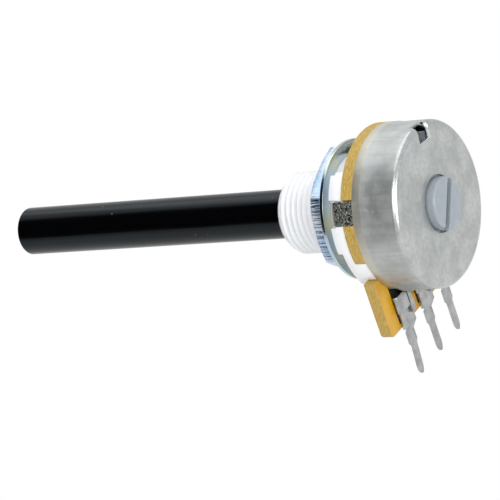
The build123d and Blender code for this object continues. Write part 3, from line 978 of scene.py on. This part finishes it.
# %% Crazed tab
crazed_tab, place = new_material("tin_crazed_by_the_press_tool")
warp = add(crazed_tab, "TexNoise", [("Vector", place), ("Scale", per(0.5)), ("Detail", 3)])
bent = add(
    crazed_tab, "VectorMath", [(0, warp.outputs["Color"]), (1, (0.0004, 0.0004, 0.0004))], out=0,
    operation="MULTIPLY",
)
bent = add(crazed_tab, "VectorMath", [(0, bent), (1, place)], out=0, operation="ADD")
cracks = add(
    crazed_tab, "TexVoronoi", [("Vector", bent), ("Scale", per(0.42))], out="Distance",
    feature="DISTANCE_TO_EDGE",
)
grooves = add(crazed_tab, "MapRange", enumerate((cracks, 0.06, 0.2, 1, 0)), out=0)
relief = add(
    crazed_tab, "Bump", [("Height", grooves), ("Distance", 0.05 * MM), ("Strength", 0.8)], invert=True,
)
tone = add(
    crazed_tab, "Mix", [(0, grooves), (6, colour("#B9BBB4")), (7, colour("#55564F"))], out=2,
    data_type="RGBA",
)
shader = add(
    crazed_tab, "BsdfPrincipled",
    [("Base Color", tone), ("Metallic", 1.0), ("Roughness", 0.34), ("Normal", relief.outputs[0])],
)
finish_material(crazed_tab, shader)
print("crazing cells 0.42 mm")

# %% [markdown]
# ## Rotor and wiper
# The rotor is unpigmented polyamide. It is milky, and light goes a millimetre or so into it, so
# its edges glow and its slot stays pale. The wiper is bright phosphor bronze.

# %% Natural polyamide and bronze
natural_nylon, place = new_material("moulded_natural_polyamide")
haze = add(natural_nylon, "TexNoise", [("Vector", place), ("Scale", per(1.2)), ("Detail", 3)], out=0)
relief = add(natural_nylon, "Bump", [("Height", haze), ("Distance", 0.01 * MM), ("Strength", 0.4)])
tone = add(
    natural_nylon, "Mix", [(0, haze), (6, colour("#8A9197")), (7, colour("#9AA1A7"))], out=2,
    data_type="RGBA",
)
shader = add(
    natural_nylon, "BsdfPrincipled",
    [
        ("Base Color", tone), ("Roughness", 0.28), ("IOR", 1.53), ("Subsurface Weight", 0.5),
        ("Subsurface Radius", (1.0, 1.0, 1.0)), ("Subsurface Scale", 0.6 * MM),
        ("Normal", relief.outputs[0]),
    ],
)
finish_material(natural_nylon, shader)

bronze, place = new_material("rolled_phosphor_bronze_spring")
lines = add(bronze, "TexNoise", [("Vector", place), ("Scale", per(0.2)), ("Detail", 3)], out=0)
tone = add(
    bronze, "Mix", [(0, lines), (6, colour("#C98F5A")), (7, colour("#D9A874"))], out=2, data_type="RGBA",
)
rough = add(bronze, "MapRange", enumerate((lines, 0.3, 0.7, 0.2, 0.32)), out=0)
shader = add(bronze, "BsdfPrincipled", [("Base Color", tone), ("Metallic", 1.0), ("Roughness", rough)])
finish_material(bronze, shader)
print("rotor and wiper ready")

# %% Give each piece its finish
MAIN_FINISH = {
    "shaft": black_nylon,
    "threaded_housing": white_pbt,
    "chamfered_nut": zinc_turned,
    "punched_washer": zinc_rolled,
    "laminate_board": laminate_face,
    "carbon_track": carbon_ink,
    "collector_ring": ring_ink,
    "folded_terminal_1": tinned_strip,
    "folded_terminal_2": tinned_strip,
    "folded_terminal_3": tinned_strip,
    "drawn_can": tinned_can,
    "rotor": natural_nylon,
    "wiper_contact": bronze,
}
for name, material in MAIN_FINISH.items():
    mesh = bpy.data.objects[name].data
    mesh.materials.clear()
    mesh.materials.append(material)
print(len(MAIN_FINISH), "pieces have a finish")


def second_finish(name, material, test):
    """Give some faces of a piece a second finish, chosen by their middle and direction."""
    piece = bpy.data.objects[name]
    piece.data.materials.append(material)
    slot = len(piece.data.materials) - 1
    count = 0
    for face in piece.data.polygons:
        if test(centre_of(piece, face), face.normal):
            face.material_index = slot
            count += 1
    print(f"{count} faces of {name} are {material.name}")


def on_tab(p):
    """True on the outer face of a tab, behind its plain front strip."""
    return (TAB_FRONT + 0.95 < p.y < BOARD_REAR + 0.2 and hypot(p.x, p.z) > CAN_RADIUS - 0.05
            and TAB_ANGLES[0] < degrees(atan2(p.z, abs(p.x))) < TAB_ANGLES[1])


second_finish("laminate_board", laminate_edge, lambda p, normal: abs(normal.y) < 0.7)
second_finish("chamfered_nut", zinc_drawn_with_painted_blue, lambda p, normal: abs(normal.y) < 0.2 and hypot(p.x, p.z) > 6)
second_finish("drawn_can", crazed_tab, lambda p, normal: on_tab(p))
second_finish("drawn_can", burnished_tin, lambda p, normal: near_stop(p, 0.06) and p.y > TOOTH_Y - 0.1)

# %% [markdown]
# # The studio
# The part hangs over a white table in a pale room. One large soft box above gives the shape, a
# smaller one behind draws the bright streak on the can's shoulder, and a fill beside the camera
# keeps white plastic white. Black plastic is black only where it reflects something dark, so the
# room has one dark side. The camera stands well back with a long lens and is rolled a little.

# %% Camera
CAMERA_TURN = 127.2122
CAMERA_RISE = 22.4693
CAMERA_ROLL = -19.6583
CAMERA_PLACE = Vector((300.0586, 210.0222, 151.1777)) * MM
LENS = 237.771

turn_angle, rise, roll = (radians(a) for a in (CAMERA_TURN, CAMERA_RISE, CAMERA_ROLL))
back = Vector((sin(turn_angle) * cos(rise), -cos(turn_angle) * cos(rise), sin(rise)))
level = Vector((0, 0, 1)).cross(back).normalized()
up = back.cross(level)
right = cos(roll) * level + sin(roll) * up
upright = -sin(roll) * level + cos(roll) * up
bpy.ops.object.camera_add()
camera = bpy.context.object
facing = Matrix((right, upright, back)).transposed().to_4x4()
camera.matrix_world = Matrix.Translation(CAMERA_PLACE) @ facing
camera.data.lens = LENS
camera.data.sensor_width = 36
camera.data.clip_start = 0.01
bpy.context.scene.camera = camera
print("camera stands", round(CAMERA_PLACE.length, 3), "m away")

# %% [markdown]
# The table is white paper to the light. To the camera and to reflections it is pure white, which
# is why metal shows it too. It is small, so that low reflections pass its edge and meet the room.

# %% Table
TABLE_DROP = 24
bpy.ops.object.select_all(action="DESELECT")
bpy.ops.mesh.primitive_plane_add(size=0.44, location=(0, 0, (PIN_TIP - TABLE_DROP) * MM))
table = bpy.context.object
table.name = "table"
white_table, place = new_material("white_table")
rays = add(white_table, "LightPath")
seen = add(
    white_table, "Math", [(0, rays.outputs["Is Camera Ray"]), (1, rays.outputs["Is Glossy Ray"])], out=0,
    operation="MAXIMUM",
)
seen = add(
    white_table, "Math", [(0, seen), (1, rays.outputs["Is Transmission Ray"])], out=0, operation="MAXIMUM",
)
paper = add(white_table, "BsdfDiffuse", [("Color", colour("#E8E8E8"))], out=0)
glow = add(white_table, "Emission", [("Color", (1, 1, 1, 1)), ("Strength", 1.0)], out=0)
finish_material(white_table, add(white_table, "MixShader", [(0, seen), (1, paper), (2, glow)]))
table.data.materials.append(white_table)
print("table", TABLE_DROP, "mm under the pins")

# %% [markdown]
# The world's colour depends on direction: a dot product with the dark side's direction, softened
# at its edge, mixes the pale walls with the dark.

# %% Room
DARK_SIDE = Vector((0.66, -0.59, 0.46)).normalized()
world = bpy.data.worlds.new("studio_room")
bpy.context.scene.world = world
world.use_nodes = True
world.node_tree.nodes.clear()
looking = add(world, "TexCoord", out="Generated")
towards_dark = add(
    world, "VectorMath", [(0, looking), (1, DARK_SIDE)], out="Value", operation="DOT_PRODUCT",
)
dark = add(
    world, "MapRange", [(0, towards_dark), (1, 0.7), (2, 0.8), (3, 0.0), (4, 1.0)], out=0,
    interpolation_type="SMOOTHSTEP",
)
walls = add(
    world, "Mix", [(0, dark), (6, (0.84, 0.86, 0.88, 1)), (7, (0.006, 0.006, 0.008, 1))], out=2,
    data_type="RGBA",
)
rays = add(world, "LightPath")
seen = add(
    world, "Mix", [(0, rays.outputs["Is Camera Ray"]), (6, walls), (7, (1, 1, 1, 1))], out=2,
    data_type="RGBA",
)
sky = add(world, "Background", [("Color", seen), ("Strength", 1.0)])
room_output = add(world, "OutputWorld")
world.node_tree.links.new(sky.outputs[0], room_output.inputs["Surface"])
print("room is dark towards", tuple(round(c, 2) for c in DARK_SIDE))

# %% Soft boxes


def soft_box(name, place, target, width, height, power):
    """An area light at a place in millimetres, aimed at a target."""
    bpy.ops.object.select_all(action="DESELECT")
    bpy.ops.object.light_add(type="AREA")
    lamp = bpy.context.object
    lamp.name = name
    lamp.data.shape = "RECTANGLE"
    lamp.data.size = width * MM
    lamp.data.size_y = height * MM
    lamp.data.energy = power
    aim = (Vector(place) - Vector(target)).to_track_quat("Z", "Y")
    lamp.location = Vector(place) * MM
    lamp.rotation_mode = "QUATERNION"
    lamp.rotation_quaternion = aim
    return lamp


soft_box("top_box", (-120, -80, 400), (0, -10, 0), 400, 520, 0.62)
soft_box("side_box", (170, 420, 120), (0, 0, 0), 260, 260, 0.8)
soft_box("fill_box", (280, 130, 230), (0, 0, 0), 220, 220, 0.5)
print("three soft boxes")

# %% [markdown]
# Last, the plain view transform.

scene = bpy.context.scene
scene.view_settings.view_transform = "Standard"
